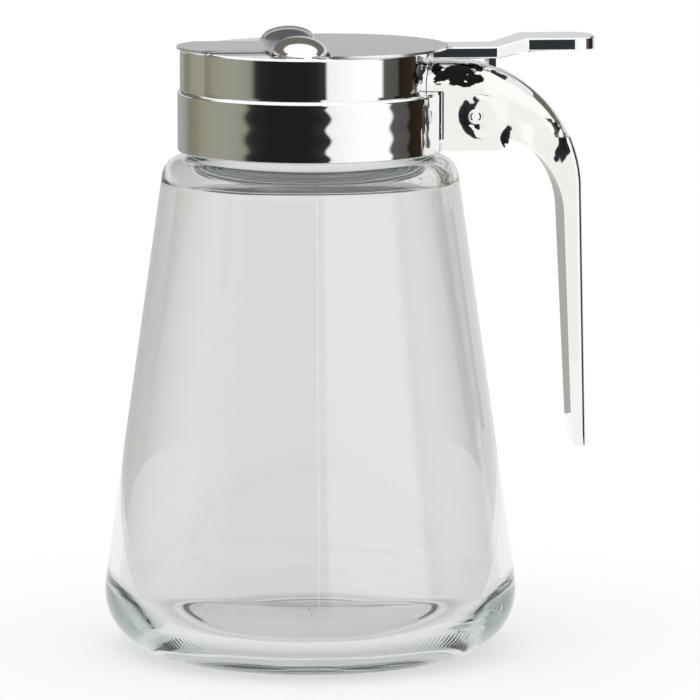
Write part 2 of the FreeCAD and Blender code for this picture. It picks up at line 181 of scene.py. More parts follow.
cap_chrome, tree, shader, place, polish = polished_chrome(
    "polished_chrome_cap", POLISHED, wave_height=0.005 * MM)
height = add(tree, "ShaderNodeSeparateXYZ", Vector=place).outputs["Z"]
phase = add(tree, "ShaderNodeMath", {"operation": "MULTIPLY_ADD"}, in0=height, in1=TURNS,
            in2=-RIPPLE_CREST * TURNS).outputs[0]
wave = add(tree, "ShaderNodeMath", {"operation": "COSINE"}, in0=phase).outputs[0]
rising = add(tree, "ShaderNodeMapRange", SMOOTH, Value=height,
             From_Min=SKIRT_LOW, From_Max=SKIRT_LOW + SKIRT_FADE).outputs[0]
falling = add(tree, "ShaderNodeMapRange", SMOOTH, Value=height, From_Min=SKIRT_HIGH - SKIRT_FADE,
              From_Max=SKIRT_HIGH, To_Min=1.0, To_Max=0.0).outputs[0]
on_skirt = add(tree, "ShaderNodeMath", {"operation": "MULTIPLY"}, in0=rising,
               in1=falling).outputs[0]
swell = add(tree, "ShaderNodeMath", {"operation": "MULTIPLY"}, in0=wave, in1=on_skirt).outputs[0]
ripple = add(tree, "ShaderNodeBump", Height=swell, Strength=1.0, Distance=RIPPLE_HEIGHT,
             Normal=polish.outputs[0])
tree.links.new(ripple.outputs[0], shader.inputs["Normal"])
print("ripples %.2f mm apart, %.3f mm high" % (RIPPLE_PITCH / MM, RIPPLE_HEIGHT / MM))

# %% [markdown]
# ## Where the cap is left as cast
#
# The polishing wheel only reaches the outside. The bore of the cap and the hollows of its two guide
# ears keep the paler, duller skin of the casting, and they are seen through the glass and past the
# gate. They could have a material of their own, but then their faces would have to be picked one by
# one. Both are simple shapes, so the chrome itself tells them by their distance from a centre: from
# the axis for the bore, and from the middle of an ellipsoid for the ears.

# %% Bore of the cap
# Radius and ceiling of the skirt's inside, then of the tier's, in millimetres.
BORE = ((28.2, 123.0), (25.2, 132.2))

parts = add(tree, "ShaderNodeSeparateXYZ", Vector=place)
level = add(tree, "ShaderNodeCombineXYZ", X=parts.outputs["X"], Y=parts.outputs["Y"]).outputs[0]
off_axis = add(tree, "ShaderNodeVectorMath", {"operation": "LENGTH"}, in0=level).outputs["Value"]
within = 0.0
for bore_radius, ceiling in BORE:
    near = add(tree, "ShaderNodeMath", {"operation": "LESS_THAN"}, in0=off_axis,
               in1=bore_radius * MM).outputs[0]
    below = add(tree, "ShaderNodeMath", {"operation": "LESS_THAN"}, in0=parts.outputs["Z"],
                in1=ceiling * MM).outputs[0]
    both = add(tree, "ShaderNodeMath", {"operation": "MULTIPLY"}, in0=near, in1=below).outputs[0]
    within = add(tree, "ShaderNodeMath", {"operation": "MAXIMUM"}, in0=both,
                 in1=within).outputs[0]
print("bore picked out in", len(BORE), "steps")

# %% Hollows of the guide ears
EAR_CENTRE = Vector((-3.6, 11.4, 133.0)) * MM      # the other ear is its mirror image in y
EAR_HALVES = Vector((6.0, 12.2, 3.3)) * MM         # half sizes of the ellipsoid
AS_CAST_METAL, AS_CAST_ROUGH = 0.05, 0.22          # metallic and roughness of the casting's skin

far_side = add(tree, "ShaderNodeMath", {"operation": "ABSOLUTE"}, in0=parts.outputs["Y"]).outputs[0]
folded = add(tree, "ShaderNodeCombineXYZ", X=parts.outputs["X"], Y=far_side,
             Z=parts.outputs["Z"]).outputs[0]
centred = add(tree, "ShaderNodeVectorMath", {"operation": "SUBTRACT"}, in0=folded,
              in1=EAR_CENTRE).outputs[0]
scaled = add(tree, "ShaderNodeVectorMath", {"operation": "DIVIDE"}, in0=centred,
             in1=EAR_HALVES).outputs[0]
reach = add(tree, "ShaderNodeVectorMath", {"operation": "LENGTH"}, in0=scaled).outputs["Value"]
in_ear = add(tree, "ShaderNodeMath", {"operation": "LESS_THAN"}, in0=reach, in1=1.0).outputs[0]
within = add(tree, "ShaderNodeMath", {"operation": "MAXIMUM"}, in0=in_ear, in1=within).outputs[0]
metal = add(tree, "ShaderNodeMapRange", Value=within, To_Min=1.0, To_Max=AS_CAST_METAL).outputs[0]
grain = add(tree, "ShaderNodeMapRange", Value=within, To_Min=POLISHED,
            To_Max=AS_CAST_ROUGH).outputs[0]
tree.links.new(metal, shader.inputs["Metallic"])
tree.links.new(grain, shader.inputs["Roughness"])
print("ears left as cast inside, %.1f mm deep" % (EAR_HALVES.y / MM))


# %% [markdown]
# ## Chrome for the handle, with draft, swells and a painted dark reflection
#
# A casting has to leave its die, so its flat sides are given a few degrees of draft, and they
# mirror the studio a little further round than the cap does. Hand polishing also leaves low swells
# and hollows beside the pin and at the bends, where the wheel lingers. All that shows of them is
# how they turn the mirror image, so they aren't cut into the solid but added up as one height for
# the bump. Under the lever a dark reflection is painted into the chrome's colour, and a noise
# breaks it into mottles.

# %% Chrome for the handle
DRAFT = math.tan(math.radians(5.0))
# Centre x and z, inner and outer radius of the slope, height, all in millimetres.
SWELLS = [
    (37.4, 118.9, 1.9, 6.0, 0.50),
    (44.4, 114.2, 1.2, 3.8, 0.34),
    (51.0, 112.6, 2.6, 6.0, -0.46),
]
WARP = 1.4 * MM               # how far a swell's outline strays from a circle
WARP_LENGTH = 3.0 * MM        # over what distance it strays

handle_chrome, tree, shader, place, polish = polished_chrome(
    "polished_chrome_handle", POLISHED, wave_height=0.014 * MM, detail=1.5)
parts = add(tree, "ShaderNodeSeparateXYZ", Vector=place)
x, z = parts.outputs["X"], parts.outputs["Z"]
surface = add(tree, "ShaderNodeMath", {"operation": "MULTIPLY"}, in0=x, in1=-DRAFT).outputs[0]
uneven = add(tree, "ShaderNodeTexNoise", Vector=place, Scale=1 / WARP_LENGTH, Detail=1.0)
shift = add(tree, "ShaderNodeVectorMath", {"operation": "MULTIPLY_ADD"},
            in0=uneven.outputs["Color"], in1=(WARP, 0, WARP),
            in2=(-WARP / 2, 0, -WARP / 2)).outputs[0]
plan = add(tree, "ShaderNodeVectorMath", {"operation": "MULTIPLY_ADD"}, in0=place, in1=(1, 0, 1),
           in2=shift).outputs[0]
for centre_x, centre_z, inner, outer, rise in SWELLS:
    reach = add(tree, "ShaderNodeVectorMath", {"operation": "DISTANCE"}, in0=plan,
                in1=(centre_x * MM, 0, centre_z * MM)).outputs["Value"]
    swell = add(tree, "ShaderNodeMapRange", SMOOTH, Value=reach,
                From_Min=inner * MM, From_Max=outer * MM, To_Min=rise * MM, To_Max=0.0).outputs[0]
    surface = add(tree, "ShaderNodeMath", {"operation": "ADD"}, in0=surface, in1=swell).outputs[0]
slopes = add(tree, "ShaderNodeBump", Height=surface, Strength=1.0, Distance=1.0,
             Normal=polish.outputs[0])
tree.links.new(slopes.outputs[0], shader.inputs["Normal"])
print("handle chrome with %d swells" % len(SWELLS))

# %% The painted dark reflection under the lever
PAINTED_REFLECTION_LOW, PAINTED_REFLECTION_HIGH = (24.4, 123.6), (38.5, 131.2)    # two of its corners, x and z in mm
PAINTED_REFLECTION_FADE = 3.2                 # how far in from its edges it fades, mm
PAINTED_REFLECTION_GRAIN = 1.7 * MM           # size of its mottles
PAINTED_REFLECTION_STRETCH = 0.5              # drawn out along the hood
PAINTED_REFLECTION_GAIN, PAINTED_REFLECTION_SHIFT = 3.6, -0.8      # makes more of the noise, so that the mottles break up
PAINTED_REFLECTION_FROM, PAINTED_REFLECTION_TO = 0.40, 0.52        # between these levels a mottle has its edge
# Colour of the dark reflection that is painted into the handle's chrome under the lever.
PAINTED_REFLECTION_COLOUR = "#1d1b1a"
CAST_CHROME = "#f3f3f0"         # a trace warmer than the cap's chrome

edges = []
for value, low, high in ((x, PAINTED_REFLECTION_LOW[0], PAINTED_REFLECTION_HIGH[0]), (z, PAINTED_REFLECTION_LOW[1], PAINTED_REFLECTION_HIGH[1])):
    for edge, inward in ((low, PAINTED_REFLECTION_FADE), (high, -PAINTED_REFLECTION_FADE)):
        edges.append(add(tree, "ShaderNodeMapRange", SMOOTH, Value=value,
                         From_Min=edge * MM, From_Max=(edge + inward) * MM).outputs[0])
inside = edges[0]
for edge in edges[1:]:
    inside = add(tree, "ShaderNodeMath", {"operation": "MULTIPLY"}, in0=inside, in1=edge).outputs[0]
drawn_out = add(tree, "ShaderNodeMapping", Vector=place, Scale=(PAINTED_REFLECTION_STRETCH, 1.0, 1.0))
mottle = add(tree, "ShaderNodeTexNoise", Vector=drawn_out.outputs[0], Scale=1 / PAINTED_REFLECTION_GRAIN,
             Detail=5.0)
spread = add(tree, "ShaderNodeMath", {"operation": "MULTIPLY_ADD"}, in0=mottle.outputs["Fac"],
             in1=PAINTED_REFLECTION_GAIN, in2=PAINTED_REFLECTION_SHIFT).outputs[0]
level = add(tree, "ShaderNodeMath", {"operation": "MULTIPLY"}, in0=inside, in1=spread).outputs[0]
# Where a mottle passes its edge, the chrome's colour turns to the painted dark reflection.
painted_reflection = add(tree, "ShaderNodeMapRange", SMOOTH, Value=level,
           From_Min=PAINTED_REFLECTION_FROM, From_Max=PAINTED_REFLECTION_TO).outputs[0]
chrome_with_painted_reflection = add(tree, "ShaderNodeMix", {"data_type": "RGBA"}, in0=painted_reflection, in6=linear(CAST_CHROME),
              in7=linear(PAINTED_REFLECTION_COLOUR))
tree.links.new(chrome_with_painted_reflection.outputs[2], shader.inputs["Base Color"])
print("dull place %.1f mm long" % (PAINTED_REFLECTION_HIGH[0] - PAINTED_REFLECTION_LOW[0]))


# %% [markdown]
# ## Chrome for the lever and the pin
#
# The lever is bent from thick strip, and the bend pulls its edge out of line: along the slanted
# rise the side faces turn a little towards the handle. A height that only falls along the rise
# turns the mirror there and leaves the neck and the pad as they are. The pin's head sits with the
# same lean as the casting's side, so a steady slope does for it.

# %% Chrome for the lever
RISE_FROM, RISE_TO = 40.4 * MM, 47.3 * MM      # where the slanted rise begins and ends
RISE_TURN = math.tan(math.radians(13.5))

lever_chrome, tree, shader, place, polish = polished_chrome(
    "polished_chrome_lever", POLISHED, wave_height=0.008 * MM)
along = add(tree, "ShaderNodeSeparateXYZ", Vector=place).outputs["X"]
fall = add(tree, "ShaderNodeMapRange", Value=along, From_Min=RISE_FROM, From_Max=RISE_TO,
           To_Min=0.0, To_Max=-(RISE_TO - RISE_FROM) * RISE_TURN).outputs[0]
turned = add(tree, "ShaderNodeBump", Height=fall, Strength=1.0, Distance=1.0,
             Normal=polish.outputs[0])
tree.links.new(turned.outputs[0], shader.inputs["Normal"])
print("rise turned over %.1f mm" % ((RISE_TO - RISE_FROM) / MM))

# %% Chrome for the pin
pin_chrome, tree, shader, place, polish = polished_chrome(
    "turned_chrome_pin", roughness=0.05, wave_height=0.002 * MM)
across = add(tree, "ShaderNodeSeparateXYZ", Vector=place).outputs["X"]
slope = add(tree, "ShaderNodeMath", {"operation": "MULTIPLY"}, in0=across, in1=-DRAFT).outputs[0]
leaning = add(tree, "ShaderNodeBump", Height=slope, Strength=1.0, Distance=1.0,
              Normal=polish.outputs[0])
tree.links.new(leaning.outputs[0], shader.inputs["Normal"])
print("lever and pin:", lever_chrome.name, "and", pin_chrome.name)


# %% [markdown]
# ## Satin steel for the gate
#
# The gate is stamped from cold-rolled stainless sheet. Rolling leaves fine lines along the sheet
# and a satin surface that only mirrors at a flat angle. Real rolling lines are a few hundredths of
# a millimetre apart, too fine to show here, so they are drawn 0.3 mm apart. No mesh could hold
# them, so a noise that is drawn out along the sheet steers the roughness and a faint bump.

# %% Satin rolled steel
ROLL_LINE = 0.3 * MM
LINE_STRETCH = 0.04           # makes a line 25 times as long as it is wide
LINE_HEIGHT = 0.003 * MM
SATIN_LOW, SATIN_HIGH = 0.18, 0.30     # roughness between and on the lines

satin_steel, tree, shader = start_material(
    "cold_rolled_satin_steel", Base_Color=linear("#efeff2"), Metallic=1.0, Roughness=0.24)
place = add(tree, "ShaderNodeTexCoord").outputs["Object"]
along = add(tree, "ShaderNodeMapping", Vector=place, Scale=(LINE_STRETCH, 1.0, 1.0))
lines = add(tree, "ShaderNodeTexNoise", Vector=along.outputs[0], Scale=1 / ROLL_LINE, Detail=2.0)
rough = add(tree, "ShaderNodeMapRange", Value=lines.outputs["Fac"], To_Min=SATIN_LOW,
            To_Max=SATIN_HIGH)
bump = add(tree, "ShaderNodeBump", Height=lines.outputs["Fac"], Strength=0.5,
           Distance=LINE_HEIGHT)
tree.links.new(rough.outputs[0], shader.inputs["Roughness"])
tree.links.new(bump.outputs[0], shader.inputs["Normal"])
print("gate finish:", satin_steel.name)


# %% [markdown]
# ## Soda-lime glass
#
# Jars are pressed and blown from soda-lime glass. It bends light by 1.52, and a trace of iron
# makes it faintly green, which shows only where one looks along the wall: at the shoulder, the
# heel and the base. A green base colour would tint the thin wall as much as the heel. A volume that
# absorbs a little red gets it right by itself, because light that crosses more glass loses more.

# %% Glass
GLASS_TINT = "#f4f3f3"            # what is left of white after going in and out again
IRON_TINT, IRON_DENSITY = "#c6d6ce", 25.0     # colour and strength of the absorption, per metre

jar_glass, tree, shader = start_material(
    "pressed_soda_lime_glass", Base_Color=linear(GLASS_TINT), Roughness=0.0, IOR=1.52,
    Transmission_Weight=1.0)
output = next(node for node in tree.nodes if node.type == "OUTPUT_MATERIAL")
iron = add(tree, "ShaderNodeVolumeAbsorption", Color=linear(IRON_TINT), Density=IRON_DENSITY)
tree.links.new(iron.outputs[0], output.inputs["Volume"])
print("glass of index", round(shader.inputs["IOR"].default_value, 2))

# %% [markdown]
# ## Mould seam and stipples
#
# The outside keeps a hair-thin ridge on two sides, where the mould's halves met, and the foot of
# the heel is stippled so that the hot glass doesn't check on the belt. Both could be cut into the
# mesh, but ridges a few hundredths of a millimetre high would need millions of faces, so they are
# a height for the bump. The seam is a thin plane through the axis, and the stipples are a sine of
# the angle round the axis, limited to a ring near the floor.

# %% Mould seam
SEAM_TURN = math.radians(-3.0)    # where the mould halves met, seen from above
SEAM_WIDTH = 0.35 * MM            # half of its width
SEAM_HEIGHT = 0.03 * MM

place = add(tree, "ShaderNodeTexCoord").outputs["Object"]
across = add(tree, "ShaderNodeVectorMath", {"operation": "DOT_PRODUCT"}, in0=place,
             in1=(math.cos(SEAM_TURN), math.sin(SEAM_TURN), 0)).outputs["Value"]
off_seam = add(tree, "ShaderNodeMath", {"operation": "ABSOLUTE"}, in0=across).outputs[0]
seam = add(tree, "ShaderNodeMapRange", SMOOTH, Value=off_seam,
           From_Min=0.0, From_Max=SEAM_WIDTH, To_Min=1.0, To_Max=0.0).outputs[0]
seam_bump = add(tree, "ShaderNodeBump", Height=seam, Strength=1.0, Distance=SEAM_HEIGHT)
print("seam %.2f mm wide" % (2 * SEAM_WIDTH / MM))

# %% Stipples round the foot of the heel
STIPPLES = 180
STIPPLE_RING = 37.0 * MM
STIPPLE_WIDTH = 3.6 * MM          # half of the ring's width
STIPPLE_FULL = 0.6                # share of that where the stipples are at full height
STIPPLE_FROM, STIPPLE_TO = 1.5 * MM, 3.5 * MM      # they end between these heights
STIPPLE_HEIGHT = 0.013 * MM

parts = add(tree, "ShaderNodeSeparateXYZ", Vector=place)
x, y, z = (parts.outputs[axis] for axis in "XYZ")
level = add(tree, "ShaderNodeCombineXYZ", X=x, Y=y).outputs[0]
radius = add(tree, "ShaderNodeVectorMath", {"operation": "LENGTH"}, in0=level).outputs["Value"]
turn = add(tree, "ShaderNodeMath", {"operation": "ARCTAN2"}, in0=y, in1=x).outputs[0]
count = add(tree, "ShaderNodeMath", {"operation": "MULTIPLY"}, in0=turn,
            in1=float(STIPPLES)).outputs[0]
ticks = add(tree, "ShaderNodeMath", {"operation": "SINE"}, in0=count).outputs[0]
from_ring = add(tree, "ShaderNodeMath", {"operation": "SUBTRACT"}, in0=radius,
                in1=STIPPLE_RING).outputs[0]
off_ring = add(tree, "ShaderNodeMath", {"operation": "ABSOLUTE"}, in0=from_ring).outputs[0]
on_ring = add(tree, "ShaderNodeMapRange", SMOOTH, Value=off_ring,
              From_Min=STIPPLE_WIDTH * STIPPLE_FULL, From_Max=STIPPLE_WIDTH,
              To_Min=1.0, To_Max=0.0).outputs[0]
near_floor = add(tree, "ShaderNodeMapRange", SMOOTH, Value=z, From_Min=STIPPLE_FROM,
                 From_Max=STIPPLE_TO, To_Min=1.0, To_Max=0.0).outputs[0]
ring = add(tree, "ShaderNodeMath", {"operation": "MULTIPLY"}, in0=on_ring,
           in1=near_floor).outputs[0]
stipple = add(tree, "ShaderNodeMath", {"operation": "MULTIPLY"}, in0=ticks, in1=ring).outputs[0]
stipple_bump = add(tree, "ShaderNodeBump", Height=stipple, Strength=1.0,
                   Distance=STIPPLE_HEIGHT, Normal=seam_bump.outputs[0])
tree.links.new(stipple_bump.outputs[0], shader.inputs["Normal"])
print("%d stipples on a ring of %.1f mm" % (STIPPLES, STIPPLE_RING / MM))


# %% [markdown]
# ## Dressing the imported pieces
#
# The five metal pieces keep the solids of the frame, whose shape is already that of the real
# castings and sheets. Only their material slots are filled anew. Making them again as new meshes
# would gain nothing, because their walls are plain cylinders, planes and rounded edges.

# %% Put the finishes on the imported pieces
FINISHES = {
    "screw_cap": cap_chrome,
    "gate_plate": satin_steel,
    "thumb_lever": lever_chrome,
    "handle": handle_chrome,
    "handle_pin": pin_chrome,
}
for name, finish in FINISHES.items():
    for slot in NODES[name].material_slots:
        slot.material = finish
    print(name, "->", finish.name)


# %% [markdown]
# ## The jar
#
# A blown jar is a solid of revolution outside and nearly one inside: the mould gives the outer
# wall, but the inner wall is free glass, so its thickness wanders, most of all at the shoulder
# where the glass is gathered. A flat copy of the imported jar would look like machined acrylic.
# So the profile is drawn once as a half section, its corners are rounded by bevelling its
# vertices, it is spun round the axis, and the inner wall is then moved by a slow noise.

# %% Half section of the jar
JAR_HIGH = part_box("glass_jar")[1]
JAR_RADIUS = JAR_HIGH.x
RIM_Z = JAR_HIGH.z
LEAN_ANGLE = 8.1              # of the wall, in degrees
LEAN = math.tan(math.radians(LEAN_ANGLE))
HEEL = 13.6 * MM              # radius of the round heel
SHOULDER_Z = 109.2 * MM
SHOULDER_ROUND = 4.6 * MM
NECK = 26.2 * MM              # radius of the neck
WALL = 3.0 * MM
BASE = 5.6 * MM               # height of the inner floor
PUSH_UP = 2.0 * MM            # depth of the hollow base
RING_WIDTH = 2.4 * MM         # of the ring that the jar stands on

sole = JAR_RADIUS - HEEL      # where the round heel meets the floor
foot = sole + HEEL / math.tan(math.radians((90 - LEAN_ANGLE) / 2))
inner_foot = foot - WALL / math.cos(math.atan(LEAN))
inner_shoulder = SHOULDER_Z - WALL
ring_edge = sole - RING_WIDTH

# Each corner: distance from the axis, height, radius of its rounding.
JAR_CORNERS = [
    (0, PUSH_UP, 0),
    (ring_edge - PUSH_UP, PUSH_UP, 3.2 * MM),
    (ring_edge, 0, 1.6 * MM),
    (foot, 0, HEEL),
    (foot - SHOULDER_Z * LEAN, SHOULDER_Z, SHOULDER_ROUND),
    (NECK, SHOULDER_Z, 1.0 * MM),
    (NECK, RIM_Z, 1.2 * MM),
    (NECK - WALL, RIM_Z, 1.2 * MM),
    (NECK - WALL, inner_shoulder, 3.0 * MM),
    (inner_foot - inner_shoulder * LEAN, inner_shoulder, SHOULDER_ROUND),
    (inner_foot - BASE * LEAN, BASE, HEEL - WALL),
    (0, BASE, 0),
]
print("half section with %d corners" % len(JAR_CORNERS))


# %% Round the corners of a half section by bevelling its vertices
ARC_STEPS = 14


def half_section(corners):
    """A wire in the plane y = 0, its corners rounded by a vertex bevel."""
    section = bmesh.new()
    points = [section.verts.new((a, 0, b)) for a, b, _ in corners]
    for start, stop in zip(points, points[1:]):
        section.edges.new((start, stop))
    for i in range(1, len(corners) - 1):
        before, here, after = (Vector((a, 0, b)) for a, b, _ in corners[i - 1:i + 2])
        radius = corners[i][2]
        reach = radius / math.tan((before - here).angle(after - here) / 2)
        bmesh.ops.bevel(section, geom=[points[i]], offset=reach, offset_type="OFFSET",
                        segments=ARC_STEPS, profile=0.5, affect="VERTICES", material=-1)
    return section


section = half_section(JAR_CORNERS)
print("rounded section has", len(section.verts), "points")


# %% Spin the section round the axis
SPIN_STEPS = 256


def spun(section, steps):
    """A closed solid from a half section whose two ends lie on the axis."""
    bmesh.ops.spin(section, geom=section.verts[:] + section.edges[:], cent=(0, 0, 0),
                   axis=(0, 0, 1), angle=2 * math.pi, steps=steps, use_merge=True)
    bmesh.ops.remove_doubles(section, verts=section.verts[:], dist=0.001 * MM)
    bmesh.ops.recalc_face_normals(section, faces=section.faces[:])
    return section


jar = spun(section, SPIN_STEPS)
open_edges = sum(not edge.is_manifold for edge in jar.edges)
print("jar mesh:", len(jar.faces), "faces, open edges:", open_edges)

# %% Let the inner wall wander
WANDER_WALL = 0.10 * MM       # on the long wall
WANDER_SHOULDER = 0.55 * MM   # where the glass is gathered
WANDER_FLOOR = 0.45 * MM
WANDER_REACH = 9 * MM         # how far the two last ones reach along the wall
GATHERED = 5 * MM             # the gathered glass lies this far below the inner shoulder
WALL_LUMP, WALL_SEED = 26 * MM, 3.0       # size of the lumps, and where the noise starts
FLOOR_LUMP, FLOOR_SEED = 16 * MM, 7.0
SKIN = 0.1 * MM               # how close to the inner wall a point counts as on it


def inner_radius(z):
    """Radius of the plain inner wall at a height, to tell inner points from outer ones."""
    return inner_foot - z * LEAN


def lump(point, size, seed):
    """A slow noise between -1 and 1, with lumps of the given size."""
    return noise.noise(point / size + Vector((seed, 0, 0)))


for vert in jar.verts:
    here = vert.co
    reach = math.hypot(here.x, here.y)
    outward = Vector((here.x, here.y, 0)).normalized()
    at_height = BASE - SKIN < here.z < inner_shoulder + SKIN
    if at_height and reach < inner_radius(here.z) + SKIN:
        to_gathered = abs(here.z - (inner_shoulder - GATHERED))
        shoulder_share = max(0.0, 1 - to_gathered / WANDER_REACH)
        floor_share = max(0.0, 1 - (here.z - BASE) / WANDER_REACH)
        amount = WANDER_WALL + WANDER_SHOULDER * shoulder_share
        vert.co += outward * (amount * lump(here, WALL_LUMP, WALL_SEED))
        vert.co.z += WANDER_FLOOR * floor_share * lump(here, FLOOR_LUMP, FLOOR_SEED)

print("inner wall moved by up to %.2f mm" % ((WANDER_WALL + WANDER_SHOULDER) / MM))


# %% Make the jar's object
def make_piece(name, mesh_data, material, smooth=True):
    """Turns a bmesh into an object at the origin, with one material."""
    mesh = bpy.data.meshes.new(name)
    mesh_data.to_mesh(mesh)
    mesh_data.free()
    mesh.materials.append(material)
    if smooth:
        mesh.shade_smooth()
    piece = bpy.data.objects.new(name, mesh)
    bpy.context.scene.collection.objects.link(piece)
    return piece


blown_jar = make_piece("blown_glass_jar", jar, jar_glass)
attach(blown_jar, "dispenser")
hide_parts("glass_jar")
print("jar ready:", len(blown_jar.data.polygons), "faces")


# %% [markdown]
# ## The studio
#
# Chrome has no colour of its own: it shows the room. A studio hangs white and dark cards round
# such a piece, so that each curved wall reads as a row of clean upright bands. Real cards would
# get in the way of other views, so here they are painted into the sky instead. One colour ramp
# holds the room at eye level, all the way round, and two windows behind the jar hold the walls
# there. Only mirrored light sees this room. The camera sees a plain white sky.

# %% The room at eye level
# Bearing in degrees (0 looks from the object to the front, positive to the right) and colour.
ROOM = [
    (-180, "#b0b0ac"), (-169, "#a4a5a0"), (-146, "#989991"), (-133, "#7f7c6d"), (-121, "#888370"),
    (-112, "#93907d"), (-95, "#989488"), (-81, "#95968a"), (-69, "#8f9084"), (-64.5, "#838475"),
    (-59.5, "#3a3935"), (-54, "#282623"), (-40, "#1f1e1e"), (-8, "#1d1d1e"), (0, "#222627"),
    (8.9, "#313538"), (11.2, "#ececea"), (14.5, "#f3f3f0"), (40, "#ffffff"), (67, "#ffffff"),
    (70.5, "#565654"), (87, "#524e48"), (91, "#241c16"), (108, "#30261d"), (121, "#40382d"),
    (126.5, "#e2e5e4"), (160, "#dededb"), (180, "#b0b0ac"),
]
ROOM_LOW, ROOM_HIGH = -34, 15      # degrees below and above the horizon
ROOM_SOFT = 2.0                    # softness of those two edges
EYE_LEVEL, EYE_HALF = -5.7, 10     # where an upright wall looks, and how far up and down from there
SPREAD = 0.5                       # the dark card widens downwards by this share
DARK_MIDDLE, DARK_HALF = -26, 20

world = bpy.data.worlds.new("studio_sky")
bpy.context.scene.world = world
world.use_nodes = True
tree = world.node_tree
tree.nodes.clear()
direction = add(tree, "ShaderNodeTexCoord").outputs["Generated"]
parts = add(tree, "ShaderNodeSeparateXYZ", Vector=direction)
to_front = add(tree, "ShaderNodeMath", {"operation": "MULTIPLY"}, in0=parts.outputs["Y"],
               in1=-1.0).outputs[0]
turn = add(tree, "ShaderNodeMath", {"operation": "ARCTAN2"}, in0=parts.outputs["X"],
           in1=to_front).outputs[0]
bearing = add(tree, "ShaderNodeMath", {"operation": "DEGREES"}, in0=turn).outputs[0]
lift = add(tree, "ShaderNodeMath", {"operation": "ARCSINE"}, in0=parts.outputs["Z"]).outputs[0]
elevation = add(tree, "ShaderNodeMath", {"operation": "DEGREES"}, in0=lift).outputs[0]
side = add(tree, "ShaderNodeMapRange", Value=bearing, From_Min=DARK_MIDDLE - DARK_HALF,
           From_Max=DARK_MIDDLE + DARK_HALF, To_Min=-SPREAD, To_Max=SPREAD).outputs[0]
above = add(tree, "ShaderNodeMapRange", {"clamp": True}, Value=elevation,
            From_Min=EYE_LEVEL - EYE_HALF, From_Max=EYE_LEVEL + EYE_HALF,
            To_Min=-EYE_HALF, To_Max=EYE_HALF).outputs[0]
sheared = add(tree, "ShaderNodeMath", {"operation": "MULTIPLY_ADD"}, in0=side, in1=above,
              in2=bearing).outputs[0]
share = add(tree, "ShaderNodeMapRange", Value=sheared, From_Min=-180.0, From_Max=180.0).outputs[0]
ramp = add(tree, "ShaderNodeValToRGB", Fac=share)
stops = ramp.color_ramp.elements
for i, (at, colour) in enumerate(ROOM):
    stop = stops[i] if i < len(stops) else stops.new(1.0)
    stop.position = (at + 180) / 360
    stop.color = linear(colour)
print("room of %d tones" % len(stops))

# %% Windows in the sky
# Bearing from, to, elevation from, to, softness of the edges in degrees, colour.
CARDS = [
    (130, 230, 0, 9, 2.0, "#d2d2d4"),         # pale wall behind
    (105, 255, 12, 34, 2.5, "#6b6861"),       # dim wall above it
]
WRAP_FROM = 60.0      # a card's bearings are counted from this far to its left, all the way round


def window(value, low, high, soft):
    """1 between low and high, with smooth edges of the given softness."""
    rise = add(tree, "ShaderNodeMapRange", SMOOTH, Value=value,
               From_Min=low - soft, From_Max=low + soft).outputs[0]
    fall = add(tree, "ShaderNodeMapRange", SMOOTH, Value=value,
               From_Min=high - soft, From_Max=high + soft, To_Min=1.0, To_Max=0.0).outputs[0]
    return add(tree, "ShaderNodeMath", {"operation": "MULTIPLY"}, in0=rise, in1=fall).outputs[0]


sky = add(tree, "ShaderNodeMix", {"data_type": "RGBA"},
          in0=window(elevation, ROOM_LOW, ROOM_HIGH, ROOM_SOFT),
          in6=linear("#ffffff"), in7=ramp.outputs[0]).outputs[2]
for left, right, low, high, soft, colour in CARDS:
    wrapped = add(tree, "ShaderNodeMath", {"operation": "WRAP"}, in0=bearing,
                  in1=left - WRAP_FROM, in2=left - WRAP_FROM + 360).outputs[0]
    card = add(tree, "ShaderNodeMath", {"operation": "MULTIPLY"},
               in0=window(wrapped, left, right, soft),
               in1=window(elevation, low, high, soft)).outputs[0]
    sky = add(tree, "ShaderNodeMix", {"data_type": "RGBA"}, in0=card, in6=sky,
              in7=linear(colour)).outputs[2]
print("windows in the sky:", len(CARDS))

# %% [markdown]
# ## What each kind of light sees
#
# Light that has come through the glass sees the white sheet behind the jar, and a greyer room
# beside it. That grey is what draws the edges of a clear jar: near the outline the wall bends the
# view away from the sheet. Light that a wall has sent back to the front sees the same cards as the
# chrome, so the bright band down the jar is as strong as four layers of glass make it. Real sheets
# and walls could do the same, but each would have to be hidden from the camera and from the
# chrome, so the sky asks every ray what kind it is and answers with the right room.

# %% What glass sees
SIDE_GREY = "#dadad8"         # beside the sheet
FAR_GREY = "#f1f1ef"          # the rest of the room
SHEET_MIDDLE, SHEET_HALF, SHEET_SOFT = 174.7, 11.0, 8.0      # bearing and half width, degrees
SIDE_HALF, SIDE_SOFT = 60.0, 12.0
FRONT_SOFT = 0.35             # how far a ray has to point to the front to see the cards in full

lights = add(tree, "ShaderNodeLightPath")
behind = add(tree, "ShaderNodeMath", {"operation": "WRAP"}, in0=bearing, in1=SHEET_MIDDLE - 180,
             in2=SHEET_MIDDLE + 180).outputs[0]
sheet_share = window(behind, SHEET_MIDDLE - SHEET_HALF, SHEET_MIDDLE + SHEET_HALF, SHEET_SOFT)
side_share = window(behind, SHEET_MIDDLE - SIDE_HALF, SHEET_MIDDLE + SIDE_HALF, SIDE_SOFT)
beside = add(tree, "ShaderNodeMix", {"data_type": "RGBA"}, in0=side_share, in6=linear(FAR_GREY),
             in7=linear(SIDE_GREY)).outputs[2]
beyond = add(tree, "ShaderNodeMix", {"data_type": "RGBA"}, in0=sheet_share, in6=beside,
             in7=linear("#ffffff")).outputs[2]
frontward = add(tree, "ShaderNodeMapRange", SMOOTH, Value=to_front,
                From_Min=0.0, From_Max=FRONT_SOFT).outputs[0]
